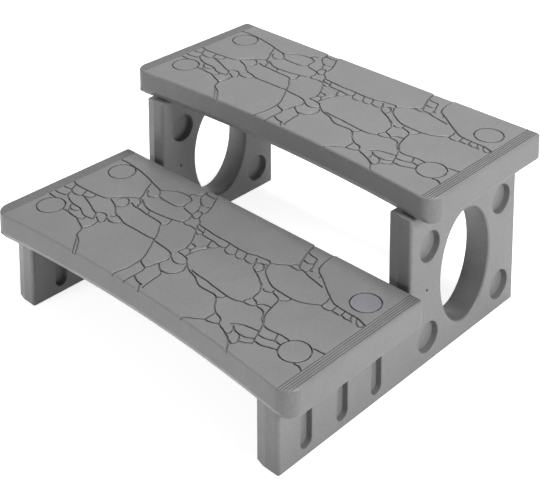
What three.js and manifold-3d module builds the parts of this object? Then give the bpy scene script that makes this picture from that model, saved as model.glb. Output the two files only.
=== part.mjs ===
// Two-step spa steps: two moulded treads screwed down on two stair-shaped side panels.
// Millimetres. +X runs along the treads, +Y from the front to the back, +Z up.
// The origin is on the floor, at the centre of the footprint.

import * as THREE from "three";
import { mergeVertices } from "three/addons/utils/BufferGeometryUtils.js";
import Module from "manifold-3d";

const wasm = await Module();
wasm.setup();

// Driving dimensions of the whole object.
const RISE = 178; // from the floor to the lower tread, and from there to the upper one
const RUN = 363; // how far the upper tread is set back behind the lower one
const GAP = 0.3; // play between pieces that rest in or on each other

const TREAD = {
  length: 800,
  depth: 342,
  thickness: 50,
  wall: 4,
  bow: 24.5, // how deeply the front edge curves in over the whole length
  frontCorner: 30,
  rearCorner: 7,
  topRound: 5,
  lipHeight: 8,
  lipInset: 4,
  ventRadius: 3,
};

const CAP = {
  column: 331, // distance of each cap's centre from the middle of the tread
  rowSpacing: 181,
  rearInset: 74, // from the tread's rear edge to the rear row
  radius: 27.5,
  plate: 5,
  rimRound: 1.5,
  skirtRadius: 23.4,
  skirtWall: 2.4,
  skirtDepth: 8,
};

const WELL = {
  radius: 29, // round recess in the tread that holds a cap
  ledgeDepth: 5.3,
  boreRadius: 24,
  depth: 17,
  cupWall: 4,
  postRadius: 14,
};

const SCREW = {
  shankRadius: 4,
  length: 72,
  tipLength: 9,
  tipRadius: 1.2,
  headHeight: 5.5,
  headRadius: 7.5,
  socketRadius: 3.2,
  socketDepth: 3,
  postRadius: 9,
};

const WASHER = { radius: 11, hole: 4.4, thickness: 1.6 };

const PANEL = {
  thickness: 54,
  wall: 3.2,
  frontOverhang: 19, // the lower tread reaches this far past the panel's front
  rearOverhang: 15,
  riserProud: 4.5, // the riser stands in front of the upper tread's front corners
  footFront: 3,
  footRear: 9,
  shoulderRound: 7.5,
  edgeRound: 7,
  flareWidth: 25, // sloping strip along the edges on the -X side
  flareInset: 6.5,
  partingOffset: 20, // mould parting plane, from the -X face
};

const TENON = { length: 232, thickness: 26, height: 12, socketDepth: 13 };

const WINDOW = { y: 174, z: 145, halfWidth: 77, halfHeight: 114, draft: 2.5 };
const DIMPLE = { radius: 30, depth: 12, draft: 2.5, spanY: 225, spanZ: 181, centreZ: 140.5 };
const SLOT = { y: -176, spacing: 90, radius: 14.5, bottom: 13.5, top: 108, depth: 11, draft: 2 };
const NEEDLE_HOLE = { y: 55, z: 147, radius: 2.4 };

// How finely round stretches are cut: facets of a turned piece, and segments of a curve (a round
// arc takes two facets per segment).
const FACETS = { turned: 18, bore: 8, inside: 10 };
const CURVE = { outline: 3, pocket: 6, window: 12, inside: 4 };

// Lines that several pieces share, worked out from the dimensions above.
const footprintDepth = RUN + TREAD.depth;
const rowCentreToRear = CAP.rowSpacing / 2 + CAP.rearInset;
const lowerRowCentre = -footprintDepth / 2 + TREAD.depth - rowCentreToRear;
const rowCentres = { lower: lowerRowCentre, upper: lowerRowCentre + RUN };
const tops = { lower: RISE, upper: 2 * RISE };
const panelFront = -footprintDepth / 2 + PANEL.frontOverhang;
const panelRear = footprintDepth / 2 - PANEL.rearOverhang;
const riser = footprintDepth / 2 - TREAD.depth - PANEL.riserProud;
const shoulders = {
  lower: tops.lower - TREAD.thickness - GAP,
  upper: tops.upper - TREAD.thickness - GAP,
};
const halfThickness = PANEL.thickness / 2;
const wellFloor = TREAD.thickness - WELL.depth;
const SIDES = { left: -1, right: 1 };
const ROWS = { front: -1, rear: 1 };

const plastic = (color, roughness) => new THREE.MeshStandardMaterial({ color, roughness, metalness: 0 });
const metal = (color, roughness) => new THREE.MeshStandardMaterial({ color, roughness, metalness: 1 });

// ---- Solids ----------------------------------------------------------------

function solid(geometry, ...moves) {
  const bare = geometry.index ? geometry.toNonIndexed() : geometry.clone();
  bare.deleteAttribute("normal");
  bare.deleteAttribute("uv");
  moves.forEach((move) => bare.applyMatrix4(move));
  const merged = mergeVertices(bare, 1e-4);
  const mesh = new wasm.Mesh({
    numProp: 3,
    vertProperties: new Float32Array(merged.attributes.position.array),
    triVerts: new Uint32Array(merged.index.array),
  });
  return new wasm.Manifold(mesh);
}

function meshFrom(name, body, material) {
  const { vertProperties, triVerts } = body.getMesh();
  const geometry = new THREE.BufferGeometry();
  geometry.setAttribute("position", new THREE.BufferAttribute(vertProperties, 3));
  geometry.setIndex(new THREE.BufferAttribute(triVerts, 1));
  geometry.computeVertexNormals();
  const mesh = new THREE.Mesh(geometry, material);
  mesh.name = name;
  return mesh;
}

const shift = (x, y, z) => new THREE.Matrix4().makeTranslation(x, y, z);

// Turns a profile drawn in (y, z) and extruded along its own z into one extruded along X.
const alongX = new THREE.Matrix4().makeBasis(
  new THREE.Vector3(0, 1, 0),
  new THREE.Vector3(0, 0, 1),
  new THREE.Vector3(1, 0, 0),
);

function upright(radius, bottom, top, segments = FACETS.turned) {
  const cylinder = new THREE.CylinderGeometry(radius, radius, top - bottom, segments);
  return solid(cylinder, new THREE.Matrix4().makeRotationX(Math.PI / 2), shift(0, 0, (bottom + top) / 2));
}

// A closed outline through corners { x, y, r }, each rounded to its own radius.
function roundedOutline(corners, arcSteps = CURVE.outline) {
  const points = [];
  corners.forEach((corner, i) => {
    const before = corners[(i + corners.length - 1) % corners.length];
    const after = corners[(i + 1) % corners.length];
    const at = new THREE.Vector2(corner.x, corner.y);
    if (!corner.r) {
      points.push(at);
      return;
    }
    const back = new THREE.Vector2(before.x, before.y).sub(at).normalize();
    const on = new THREE.Vector2(after.x, after.y).sub(at).normalize();
    const start = at.clone().addScaledVector(back, corner.r);
    const end = at.clone().addScaledVector(on, corner.r);
    const centre = start.clone().addScaledVector(on, corner.r);
    for (let step = 0; step <= arcSteps; step++) {
      const angle = (step / arcSteps) * (Math.PI / 2);
      const fromStart = start.clone().sub(centre).multiplyScalar(Math.cos(angle));
      const fromEnd = end.clone().sub(centre).multiplyScalar(Math.sin(angle));
      points.push(centre.clone().add(fromStart).add(fromEnd));
    }
  });
  return new THREE.Shape(points);
}

function roundedBar(halfLength, radius) {
  const bar = new THREE.Shape();
  bar.absarc(halfLength - radius, 0, radius, -Math.PI / 2, Math.PI / 2);
  bar.absarc(radius - halfLength, 0, radius, Math.PI / 2, (3 * Math.PI) / 2);
  return bar;
}

// An extrusion whose two ends draw in by `inset` over `run`, without changing its widest outline.
function eased(shape, middle, run, inset, steps, curveSegments) {
  return new THREE.ExtrudeGeometry(shape, {
    depth: middle,
    bevelThickness: run,
    bevelSize: inset,
    bevelOffset: -inset,
    bevelSegments: steps,
    curveSegments,
  });
}

// ---- Treads ----------------------------------------------------------------
// Each tread is built about the centre of its four caps, with its underside at z = 0.

// The front edge is an arc that meets the rounded corners smoothly; the corners reach furthest forward.
function treadOutline(inset) {
  const half = TREAD.length / 2 - inset;
  const rear = rowCentreToRear - inset;
  const corner = TREAD.frontCorner - inset;
  const arcRadius = (TREAD.length ** 2 / 4 + TREAD.bow ** 2) / (2 * TREAD.bow);
  const cornerReach = Math.sqrt(
    (arcRadius + TREAD.frontCorner) ** 2 - (TREAD.length / 2 - TREAD.frontCorner) ** 2,
  );
  const arcCentre = rowCentreToRear - TREAD.depth + TREAD.frontCorner - cornerReach;
  const bowRadius = arcRadius + inset;
  const cornerX = half - corner;
  const cornerY = arcCentre + Math.sqrt((bowRadius + corner) ** 2 - cornerX ** 2);
  const lean = Math.atan2(cornerX, cornerY - arcCentre);
  const rearRound = Math.max(TREAD.rearCorner - inset, 1);

  const shape = new THREE.Shape();
  shape.absarc(cornerX, cornerY, corner, -Math.PI / 2 - lean, 0, false);
  shape.absarc(half - rearRound, rear - rearRound, rearRound, 0, Math.PI / 2, false);
  shape.absarc(rearRound - half, rear - rearRound, rearRound, Math.PI / 2, Math.PI, false);
  shape.absarc(-cornerX, cornerY, corner, Math.PI, 1.5 * Math.PI + lean, false);
  shape.absarc(0, arcCentre, bowRadius, Math.PI / 2 + lean, Math.PI / 2 - lean, true);
  return shape;
}

// Calls place(x, y) for each of the four screw places of a tread.
function atScrews(place) {
  for (const side of Object.values(SIDES)) {
    for (const row of Object.values(ROWS)) {
      place(side * CAP.column, (row * CAP.rowSpacing) / 2);
    }
  }
}

function treadShell() {
  const { thickness, topRound, lipHeight, lipInset } = TREAD;
  const bodyMiddle = thickness - lipHeight - 2 * topRound;
  const body = solid(
    eased(treadOutline(0), bodyMiddle, topRound, topRound, 2, CURVE.outline),
    shift(0, 0, lipHeight + topRound),
  );
  const lipMiddle = thickness / 2 - lipHeight;
  const lip = solid(
    eased(treadOutline(0), lipMiddle, lipHeight, lipInset, 1, CURVE.outline),
    shift(0, 0, lipHeight),
  );
  return body.add(lip);
}

// The tread's hollow, which leaves a wall around the wells, the posts and the sockets.
function treadHollow() {
  const { thickness, wall } = TREAD;
  const inner = new THREE.ExtrudeGeometry(treadOutline(wall + TREAD.lipInset), {
    depth: thickness - 2 * wall,
    bevelEnabled: false,
    curveSegments: CURVE.outline,
  });
  let hollow = solid(inner, shift(0, 0, wall));
  Object.values(SIDES).forEach((side) => {
    hollow = hollow.subtract(tenonBar(side * CAP.column, 0, -GAP, TENON.socketDepth + wall, wall + GAP));
  });
  const cupFloor = wellFloor - WELL.cupWall;
  const cup = upright(WELL.radius + WELL.cupWall, cupFloor, thickness, FACETS.inside);
  const post = upright(WELL.postRadius, 0, cupFloor + 1, FACETS.inside);
  const keepOut = cup.add(post);
  atScrews((x, y) => {
    hollow = hollow.subtract(keepOut.translate([x, y, 0]));
  });
  return hollow;
}

// A bar with round ends that runs front to back: the tenon, or the socket around it.
function tenonBar(x, y, bottom, top, margin) {
  const shape = roundedBar(TENON.length / 2 + margin, TENON.thickness / 2 + margin);
  const bar = new THREE.ExtrudeGeometry(shape, {
    depth: top - bottom,
    bevelEnabled: false,
    curveSegments: CURVE.outline,
  });
  return solid(bar, new THREE.Matrix4().makeRotationZ(Math.PI / 2), shift(x, y, bottom));
}

function tread(level) {
  const { thickness, wall } = TREAD;
  let body = treadShell().subtract(treadHollow());
  const mouth = upright(WELL.radius, thickness - WELL.ledgeDepth, thickness + 1);
  const bore = upright(WELL.boreRadius, wellFloor, thickness);
  const screwHole = upright(SCREW.shankRadius + GAP, 0, wellFloor + 1, FACETS.bore);
  const cut = mouth.add(bore).add(screwHole);
  atScrews((x, y) => {
    body = body.subtract(cut.translate([x, y, 0]));
  });
  Object.values(SIDES).forEach((side) => {
    body = body.subtract(tenonBar(side * CAP.column, 0, -1, TENON.socketDepth, GAP));
  });
  body = body.subtract(upright(TREAD.ventRadius, -1, wall + 1, FACETS.bore));
  const mesh = meshFrom(`tread_${level}`, body, plastic(0x8f8f8f, 0.55));
  mesh.position.set(0, rowCentres[level], tops[level] - thickness);
  return mesh;
}

// ---- Side panels -----------------------------------------------------------
// A panel is drawn in (y, z) in the object's own frame, about its own middle plane.

function panelOutline(inset, floor, footFront, footRear) {
  const low = { y: shoulders.lower - inset, r: PANEL.shoulderRound };
  const high = { y: shoulders.upper - inset, r: PANEL.shoulderRound };
  return roundedOutline([
    { x: panelFront + inset, y: floor, r: footFront },
    { x: panelRear - inset, y: floor, r: footRear },
    { x: panelRear - inset, ...high },
    { x: riser + inset, ...high },
    { x: riser + inset, y: shoulders.lower - inset, r: 0 },
    { x: panelFront + inset, ...low },
  ]);
}

// Rounded along the +X edges, with a long shallow slope along the -X edges and a flat base.
function panelShell() {
  const { thickness, edgeRound, flareWidth, flareInset, footFront, footRear } = PANEL;
  const raised = panelOutline(0, -edgeRound - 1, 0, 0);
  const roundedHalf = solid(
    eased(raised, thickness - flareWidth - edgeRound, edgeRound, edgeRound, 2),
    shift(0, 0, flareWidth - halfThickness),
    alongX,
  );
  const slopedHalf = solid(
    eased(raised, thickness - 2 * flareWidth, flareWidth, flareInset, 1),
    shift(0, 0, flareWidth - halfThickness),
    alongX,
  );
  const standing = new THREE.ExtrudeGeometry(panelOutline(0, 0, footFront, footRear), {
    depth: thickness + 2,
    bevelEnabled: false,
  });
  const footprint = solid(standing, shift(0, 0, -halfThickness - 1), alongX);
  return roundedHalf.add(slopedHalf).intersect(footprint);
}

// A plug that sinks `depth` into the +X face (side 1) or the -X face (side -1), drawing in by `draft`.
function facePlug(shape, side, depth, draft, curveSegments) {
  const middle = 2;
  const face = side > 0 ? halfThickness : -halfThickness - middle;
  return solid(eased(shape, middle, depth, draft, 1, curveSegments), shift(0, 0, face), alongX);
}

function disc(y, z, radius) {
  return new THREE.Shape().absarc(y, z, radius, 0, 2 * Math.PI);
}

function oval(margin) {
  const { y, z, halfWidth, halfHeight } = WINDOW;
  return new THREE.Shape().absellipse(y, z, halfWidth + margin, halfHeight + margin, 0, 2 * Math.PI);
}

function slotShape(y, margin) {
  const radius = SLOT.radius + margin;
  const shape = new THREE.Shape();
  shape.absarc(y, SLOT.top - SLOT.radius, radius, 0, Math.PI);
  shape.absarc(y, SLOT.bottom + SLOT.radius, radius, Math.PI, 2 * Math.PI);
  return shape;
}

// Everything pressed into the two faces; a margin grows it into the wall that surrounds it.
function facePockets(margin, curveSegments) {
  const pockets = [];
  for (const side of [-1, 1]) {
    for (const y of [-0.5, 0.5]) {
      for (const z of [-0.5, 0.5]) {
        const centreY = WINDOW.y + y * DIMPLE.spanY;
        const centreZ = DIMPLE.centreZ + z * DIMPLE.spanZ;
        const shape = disc(centreY, centreZ, DIMPLE.radius + margin);
        pockets.push(facePlug(shape, side, DIMPLE.depth + margin, DIMPLE.draft, curveSegments));
      }
    }
    for (const step of [-1, 0, 1]) {
      const shape = slotShape(SLOT.y + step * SLOT.spacing, margin);
      pockets.push(facePlug(shape, side, SLOT.depth + margin, SLOT.draft, curveSegments / 2));
    }
  }
  return pockets;
}

// The oval window draws in from both faces to the parting plane.
function windowCut(margin, curveSegments) {
  const fromMinus = PANEL.partingOffset + 0.5;
  const fromPlus = PANEL.thickness - PANEL.partingOffset + 0.5;
  const minusPlug = facePlug(oval(margin), -1, fromMinus, WINDOW.draft, curveSegments);
  return minusPlug.add(facePlug(oval(margin), 1, fromPlus, WINDOW.draft, curveSegments));
}

function screwPlaces() {
  return Object.keys(rowCentres).flatMap((level) =>
    Object.values(ROWS).map((row) => ({ y: rowCentres[level] + (row * CAP.rowSpacing) / 2, level })),
  );
}

function panelHollow() {
  const { thickness, wall, flareInset, shoulderRound } = PANEL;
  const run = thickness / 2 - wall - 1;
  const inner = panelOutline(wall, wall, shoulderRound, shoulderRound);
  let hollow = solid(eased(inner, 2, run, flareInset, 1), shift(0, 0, -1), alongX);
  facePockets(wall, CURVE.inside).forEach((pocket) => {
    hollow = hollow.subtract(pocket);
  });
  hollow = hollow.subtract(windowCut(wall, 2 * CURVE.inside));
  screwPlaces().forEach(({ y, level }) => {
    const shoulder = shoulders[level];
    const post = upright(SCREW.postRadius, shoulder - SCREW.length, shoulder, FACETS.bore);
    hollow = hollow.subtract(post.translate([0, y, 0]));
  });
  return hollow;
}

function sidePanel(side) {
  let body = panelShell().subtract(panelHollow());
  facePockets(0, CURVE.pocket).forEach((pocket) => {
    body = body.subtract(pocket);
  });
  body = body.subtract(windowCut(0, CURVE.window));
  Object.keys(rowCentres).forEach((level) => {
    const base = shoulders[level];
    body = body.add(tenonBar(0, rowCentres[level], base - 1, base + TENON.height, 0));
  });
  const reach = SCREW.length - wellFloor + GAP;
  screwPlaces().forEach(({ y, level }) => {
    const base = shoulders[level];
    const hole = upright(SCREW.shankRadius + GAP, base - reach - 1, base + TENON.height + 1, FACETS.bore);
    body = body.subtract(hole.translate([0, y, 0]));
  });
  const needle = disc(NEEDLE_HOLE.y, NEEDLE_HOLE.z, NEEDLE_HOLE.radius);
  body = body.subtract(facePlug(needle, 1, PANEL.wall + 3, 0.1, CURVE.inside));
  const mesh = meshFrom(`side_panel_${side}`, body, plastic(0x8c8c8c, 0.55));
  mesh.position.x = SIDES[side] * CAP.column;
  return mesh;
}

// ---- Caps and screws -------------------------------------------------------
// Each is turned about its own axis, with z = 0 at the tread's top or at the well's floor.

function turned(name, profile, segments, material) {
  const points = profile.map(([radius, z]) => new THREE.Vector2(radius, z));
  const lathe = new THREE.LatheGeometry(points, segments);
  const body = solid(lathe, new THREE.Matrix4().makeRotationX(Math.PI / 2));
  return meshFrom(name, body, material);
}

function snapCap(name) {
  const { radius, plate, rimRound, skirtRadius, skirtWall, skirtDepth } = CAP;
  const underside = plate - 2;
  return turned(
    name,
    [
      [0, -underside],
      [skirtRadius - skirtWall, -underside],
      [skirtRadius - skirtWall, -plate - skirtDepth],
      [skirtRadius, -plate - skirtDepth],
      [skirtRadius, -plate],
      [radius, -plate],
      [radius, -rimRound],
      [radius - rimRound, 0],
      [0, 0],
    ],
    FACETS.turned,
    plastic(0x919191, 0.5),
  );
}

function screw(name) {
  const { shankRadius, length, tipLength, tipRadius, headHeight, headRadius } = SCREW;
  const seat = WASHER.thickness + 2 * GAP;
  const blank = turned(
    name,
    [
      [0, seat - length],
      [tipRadius, seat - length],
      [shankRadius, seat - length + tipLength],
      [shankRadius, seat],
      [headRadius, seat],
      [headRadius, seat + headHeight - 1],
      [headRadius - 1, seat + headHeight],
      [0, seat + headHeight],
    ],
    FACETS.bore,
    metal(0xb4b6b8, 0.3),
  );
  const headTop = seat + headHeight;
  const socket = upright(SCREW.socketRadius, headTop - SCREW.socketDepth, headTop + 1, 6);
  return meshFrom(name, solid(blank.geometry).subtract(socket), blank.material);
}

function washer(name) {
  const blank = upright(WASHER.radius, GAP, GAP + WASHER.thickness, 16);
  const ring = blank.subtract(upright(WASHER.hole, -1, GAP + WASHER.thickness + 1, FACETS.bore));
  return meshFrom(name, ring, metal(0xa9abad, 0.35));
}

function fasteningAt(level, side, row) {
  const place = `${level}_${side}_${row}`;
  const group = new THREE.Group();
  const cap = snapCap(`cap_${place}`);
  cap.position.z = TREAD.thickness;
  const fasteners = new THREE.Group();
  fasteners.position.z = wellFloor;
  fasteners.add(screw(`screw_${place}`), washer(`washer_${place}`));
  group.add(cap, fasteners);
  group.position.set(
    SIDES[side] * CAP.column,
    rowCentres[level] + (ROWS[row] * CAP.rowSpacing) / 2,
    tops[level] - TREAD.thickness,
  );
  return group;
}

// ---- Assembly --------------------------------------------------------------

const steps = new THREE.Group();
for (const side of Object.keys(SIDES)) {
  steps.add(sidePanel(side));
}
for (const level of Object.keys(tops)) {
  steps.add(tread(level));
  for (const side of Object.keys(SIDES)) {
    for (const row of Object.keys(ROWS)) {
      steps.add(fasteningAt(level, side, row));
    }
  }
}

export default steps;
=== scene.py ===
import math
import random
from collections import namedtuple

import bmesh
import bpy
import numpy as np
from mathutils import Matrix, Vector
from mathutils.geometry import delaunay_2d_cdt

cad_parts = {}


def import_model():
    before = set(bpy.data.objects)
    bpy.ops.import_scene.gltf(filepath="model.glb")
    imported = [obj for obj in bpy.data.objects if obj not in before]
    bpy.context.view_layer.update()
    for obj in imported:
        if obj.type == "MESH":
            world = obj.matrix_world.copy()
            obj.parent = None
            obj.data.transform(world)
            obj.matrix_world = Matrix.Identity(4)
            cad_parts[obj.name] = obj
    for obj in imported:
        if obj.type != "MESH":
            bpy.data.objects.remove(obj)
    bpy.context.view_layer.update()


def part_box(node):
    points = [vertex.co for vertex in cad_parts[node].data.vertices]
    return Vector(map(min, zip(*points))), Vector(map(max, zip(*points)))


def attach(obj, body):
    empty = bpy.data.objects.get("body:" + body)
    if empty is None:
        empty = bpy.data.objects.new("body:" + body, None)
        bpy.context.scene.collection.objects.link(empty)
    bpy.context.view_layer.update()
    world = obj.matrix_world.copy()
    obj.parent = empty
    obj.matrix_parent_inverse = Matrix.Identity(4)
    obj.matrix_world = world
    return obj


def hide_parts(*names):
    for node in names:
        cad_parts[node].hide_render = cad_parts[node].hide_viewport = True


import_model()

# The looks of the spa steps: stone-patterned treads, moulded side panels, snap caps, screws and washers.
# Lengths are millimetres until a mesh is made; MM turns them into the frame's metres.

MM = 0.001
rng = random.Random(7)

LEVELS = ("lower", "upper")
SIDES = ("left", "right")
ROWS = ("front", "rear")
PLACES = [f"{level}_{side}_{row}" for level in LEVELS for side in SIDES for row in ROWS]


def box_mm(node):
    """A CAD node's lowest and highest corners, in millimetres."""
    low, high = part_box(node)
    return np.array(low) / MM, np.array(high) / MM


# ---- Sizes taken from the frame --------------------------------------------

tread_low, tread_high = box_mm("tread_lower")
upper_low, upper_high = box_mm("tread_upper")
cap_low, cap_high = box_mm("cap_lower_right_front")
_, rear_cap_high = box_mm("cap_lower_right_rear")
washer_low, washer_high = box_mm("washer_lower_right_front")
screw_low, _ = box_mm("screw_lower_right_front")
panel_low, panel_high = box_mm("side_panel_right")

CAP_RADIUS = (cap_high[0] - cap_low[0]) / 2
CAP_COLUMN = (cap_high[0] + cap_low[0]) / 2
CAP_SPACING = rear_cap_high[1] - cap_high[1]
ROW_CENTRE = {
    "lower": (rear_cap_high[1] + cap_low[1]) / 2,
    "upper": (rear_cap_high[1] + cap_low[1]) / 2 + upper_high[1] - tread_high[1],
}
TOP = {"lower": tread_high[2], "upper": upper_high[2]}

# The tread, about the centre of its four caps, with its top at z = 0.
TREAD_HALF = tread_high[0]
TREAD_DEPTH = 342.0
TREAD_REAR = tread_high[1] - ROW_CENTRE["lower"]
TREAD_FRONT = TREAD_REAR - TREAD_DEPTH
THICKNESS = tread_high[2] - tread_low[2]
BOW = 24.5
FRONT_CORNER = 30.0
REAR_CORNER = 7.0
SMALLEST_CORNER = 0.5
EDGE_ROUND = 3.5
FLAT_MARGIN = 2.0

# The lip along the tread's bottom edge: its (height, inset) at the front, and at the ends and rear. It
# fades with how squarely the edge faces the front, from 0 to 1.
LIP_FRONT = (11.0, 4.8)
LIP_ENDS = (2.5, 1.2)
LIP_FADE = (0.8, 0.98)
BOTTOM_ROUND = 0.5
# One more line runs round the tread's side, at this share of its thickness.
SIDE_LINE = 0.2

# The stepped well under each cap, and what is underneath the tread.
WELL_RADIUS = CAP_RADIUS + 2.8
WELL_ROUND = 0.4
WELL_LINES = (0.0, 0.2, 0.7, WELL_ROUND, WELL_ROUND + 1.2)
WELL_STEPS = 72
WELL_LEDGE = 5.3
LEDGE_FILLET = 0.6
WELL_BORE = 24.0
BORE_FILLET = 0.8
WELL_DEPTH = 17.0
SCREW_HOLE = 4.3
HOLE_CHAMFER = 0.5
TENON_HALF = 116.0
TENON_RADIUS = 13.0
TENON_HEIGHT = 12.0
SOCKET_PLAY = 0.3
SOCKET_DEPTH = 13.0
VENT_RADIUS = 3.0
VENT_DEPTH = 4.0

# Seams between the moulded stones, given as depths at distances from their lines. The short seams have a
# share of the full size, and every line wanders a little.
SEAM_OFFSETS = (0.0, 0.9, 1.5, 2.6)
SEAM_DEPTHS = (4.0, 3.8, 0.7, 0.0)
SHORT_SHARE = 0.95
SEAM_STEP = 4.0
SEAM_WANDER = 0.3
SUNK_BY = 1.8
ROUGH_DEPTH = 0.9
ROUGH_GRID = 2.2
ROUGH_JITTER = 0.8

# The fine ribs of the two end bands, given in the same way.
RIB_FIRST = 373.5
RIB_PITCH = 4.9
RIB_COUNT = 5
RIB_END = TREAD_REAR - EDGE_ROUND
RIB_OFFSETS = (0.0, 0.8, 1.3)
RIB_DEPTHS = (1.7, 1.5, 0.0)
RIB_LINES = sorted({sign * offset for offset in RIB_OFFSETS for sign in (-1, 1)})

# The side panels, in (y, z). The -X face slopes away along its outline, given as drops at distances in.
PANEL_HALF = (panel_high[0] - panel_low[0]) / 2
PANEL_FRONT = panel_low[1]
PANEL_REAR = panel_high[1]
PANEL_ROUND = 7.0
SHOULDER = {level: TOP[level] - THICKNESS - SOCKET_PLAY for level in LEVELS}
SHOULDER_ROUND = 3.5
RISER = upper_low[1] - 4.5
FOOT_ROUND = 1.0
FOOT_CORNERS = (3.0, 9.0)
FLARE_INSETS = (0.0, 6.2, 6.5, 7.3)
FLARE_DROPS = (25.0, 1.4, 0.5, 0.0)
WALL_SHARES = (0.04, 0.3, 0.6, 0.96)

# The window: its parting plane is measured from the -X face, and its rims are on the +X and -X faces.
PARTING = 24.0
PARTING_GAP = 0.3
WINDOW_CENTRE = (174.0, 145.0)
WINDOW_HALF = (77.0, 114.0)
WINDOW_DRAFT = 4.8
WINDOW_RIMS = (4.8, 3.0)
WINDOW_RIM_INSET = 1.5

# The round pockets, the slots and the needle hole.
DIMPLE_RADIUS = 30.0
DIMPLE_DEPTH = 12.0
DIMPLE_SPACING = (225.0, 181.0)
DIMPLE_LEVEL = 140.5
SLOT_MIDDLE = -176.0
SLOT_SPACING = 90.0
SLOT_RADIUS = 14.5
SLOT_BOTTOM = 13.5
SLOT_TOP = 108.0
SLOT_DEPTH = 11.0
NEEDLE_PLACE = (55.0, 147.0)
NEEDLE_RADIUS = 2.4
NEEDLE_DEPTH = 6.0

# The tenons on the panels' shoulders, and the holes for the screws.
TENON_ROOT = 2.0
TENON_CHAMFER = 1.5
PILOT_DEPTH = 42.0

# The caps: a disc over a thin skirt with a snap bead, notched all round.
CAP_ROUND = 0.6
CAP_PLATE = 5.0
CAP_CEILING = 3.0
CAP_SKIRT = 23.4
CAP_WALL = 2.4
CAP_EDGE = 0.4
CAP_FLAT_LINES = (5.0, CAP_ROUND + 0.8)
CAP_STEPS = 144
BEAD = ((0.0, -8.2), (0.45, -9.0), (0.45, -9.6), (0.0, -11.0))
NOTCH_COUNT = 6
NOTCH_DEGREES = 9
NOTCH_ROOT = 0.5

# The screws and washers, drawn about the well's floor.
WASHER_GAP = 0.3
WASHER_PLAY = 0.1
WASHER_EDGE = 0.3
SCREW_SEAT = 2.2
HEAD_RADIUS = 7.5
HEAD_HEIGHT = 5.5
HEAD_RIM = 1.6
HEAD_FLAT = 0.62
HEAD_EDGE = 0.4
SHANK_RADIUS = 4.0
SHANK_FILLET = 0.3
KEY_RADIUS = 3.2
KEY_DEPTH = 3.0
KEY_TAPER = 0.98
KEY_FILLET = 0.2
KEY_CHAMFER = 0.3
THREAD_PITCH = 3.0
THREAD_DEPTH = 0.8
THREAD_SLOPE = 3.2
THREAD_STEP = 0.5
PLAIN_SHANK = 8.0
TAPER_LENGTH = 9.0
SCREW_POINT = ((2.8, 5.0), (1.9, 1.6), (1.2, 0.0))

# Lines that are cut off at an outline run this far past it, and distances below TOUCH count as none.
OVERSHOOT = 5.0
TOUCH = 0.1
# Angles from the start to the end of a rounded edge, in radians.
QUARTER = [math.radians(angle) for angle in (0, 15, 30, 45, 60, 75, 90)]
COARSE_QUARTER = [math.radians(angle) for angle in (0, 18, 36, 54, 72, 90)]


# ---- Plane geometry --------------------------------------------------------


def arc(centre, radius, start, end, steps):
    """Points on an arc from the start to the end angle, in degrees, both ends included."""
    angles = np.radians(np.linspace(start, end, steps + 1))
    return [(centre[0] + radius * math.cos(a), centre[1] + radius * math.sin(a)) for a in angles]


def circle(centre, radius, steps):
    """A circle's points, each once."""
    return arc(centre, radius, 0, 360 * (steps - 1) / steps, steps - 1)


def stadium(centre, half_length, radius, steps):
    """A bar with round ends along the second axis."""
    reach = half_length - radius
    far_end = arc((centre[0], centre[1] + reach), radius, 0, 180, steps)
    near_end = arc((centre[0], centre[1] - reach), radius, 180, 360, steps)
    return far_end + near_end


def growing_circle(centre, radius, steps):
    """A function that gives the circle grown by an even amount."""
    return lambda grow: circle(centre, radius + grow, steps)


def growing_stadium(centre, half_length, radius, steps):
    """A function that gives the round-ended bar grown by an even amount."""
    return lambda grow: stadium(centre, half_length + grow, radius + grow, steps)


def nearest(points, starts, ends, at_once=2000):
    """Distance from each point to the nearest of the segments, worked out for some points at once."""
    points = np.asarray(points, float)
    distance = np.empty(len(points))
    along = ends - starts
    length2 = np.maximum((along**2).sum(1), 1e-12)
    for first in range(0, len(points), at_once):
        part = points[first : first + at_once, None, :]
        share = np.clip(((part - starts) * along).sum(2) / length2, 0, 1)
        gap = part - (starts + share[..., None] * along)
        distance[first : first + at_once] = np.sqrt((gap**2).sum(2).min(1))
    return distance


def segments_of(loop):
    """The starts and ends of a closed loop's segments."""
    starts = np.asarray(loop, float)
    return starts, np.roll(starts, -1, axis=0)


def inside(points, loop):
    """Whether each point lies inside the closed loop."""
    starts, ends = segments_of(loop)
    x, y = np.asarray(points, float).T
    result = np.zeros(len(x), bool)
    for (x0, y0), (x1, y1) in zip(starts, ends):
        if y0 == y1:
            continue
        crosses = (y0 > y) != (y1 > y)
        result ^= crosses & (x < x0 + (y - y0) * (x1 - x0) / (y1 - y0))
    return result


def within(outer, holes):
    """A test for triangle centres: inside the outer loop and outside every hole."""

    def keep(centres):
        kept = inside(centres, outer)
        for hole in holes:
            kept &= ~inside(centres, hole)
        return kept

    return keep


def smooth_line(corners, step):
    """A Catmull-Rom curve through the corners, with a point about every step."""
    p = np.array([corners[0], *corners, corners[-1]], float)
    points = [p[1]]
    for a, b, c, d in zip(p, p[1:], p[2:], p[3:]):
        pieces = max(1, round(np.linalg.norm(c - b) / step))
        for t in np.arange(1, pieces + 1) / pieces:
            bend = (2 * a - 5 * b + 4 * c - d) * t**2 + (3 * b - a - 3 * c + d) * t**3
            points.append((2 * b + (c - a) * t + bend) / 2)
    return np.array(points)


def round_end(point, start, offset):
    """Points round the end of a line, turning back from the start direction."""
    points = []
    for angle in (-45, -90, -135):
        c, s = math.cos(math.radians(angle)), math.sin(math.radians(angle))
        turned_by = np.array([start[0] * c - start[1] * s, start[0] * s + start[1] * c])
        points.append(point + offset * turned_by)
    return points


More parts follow.
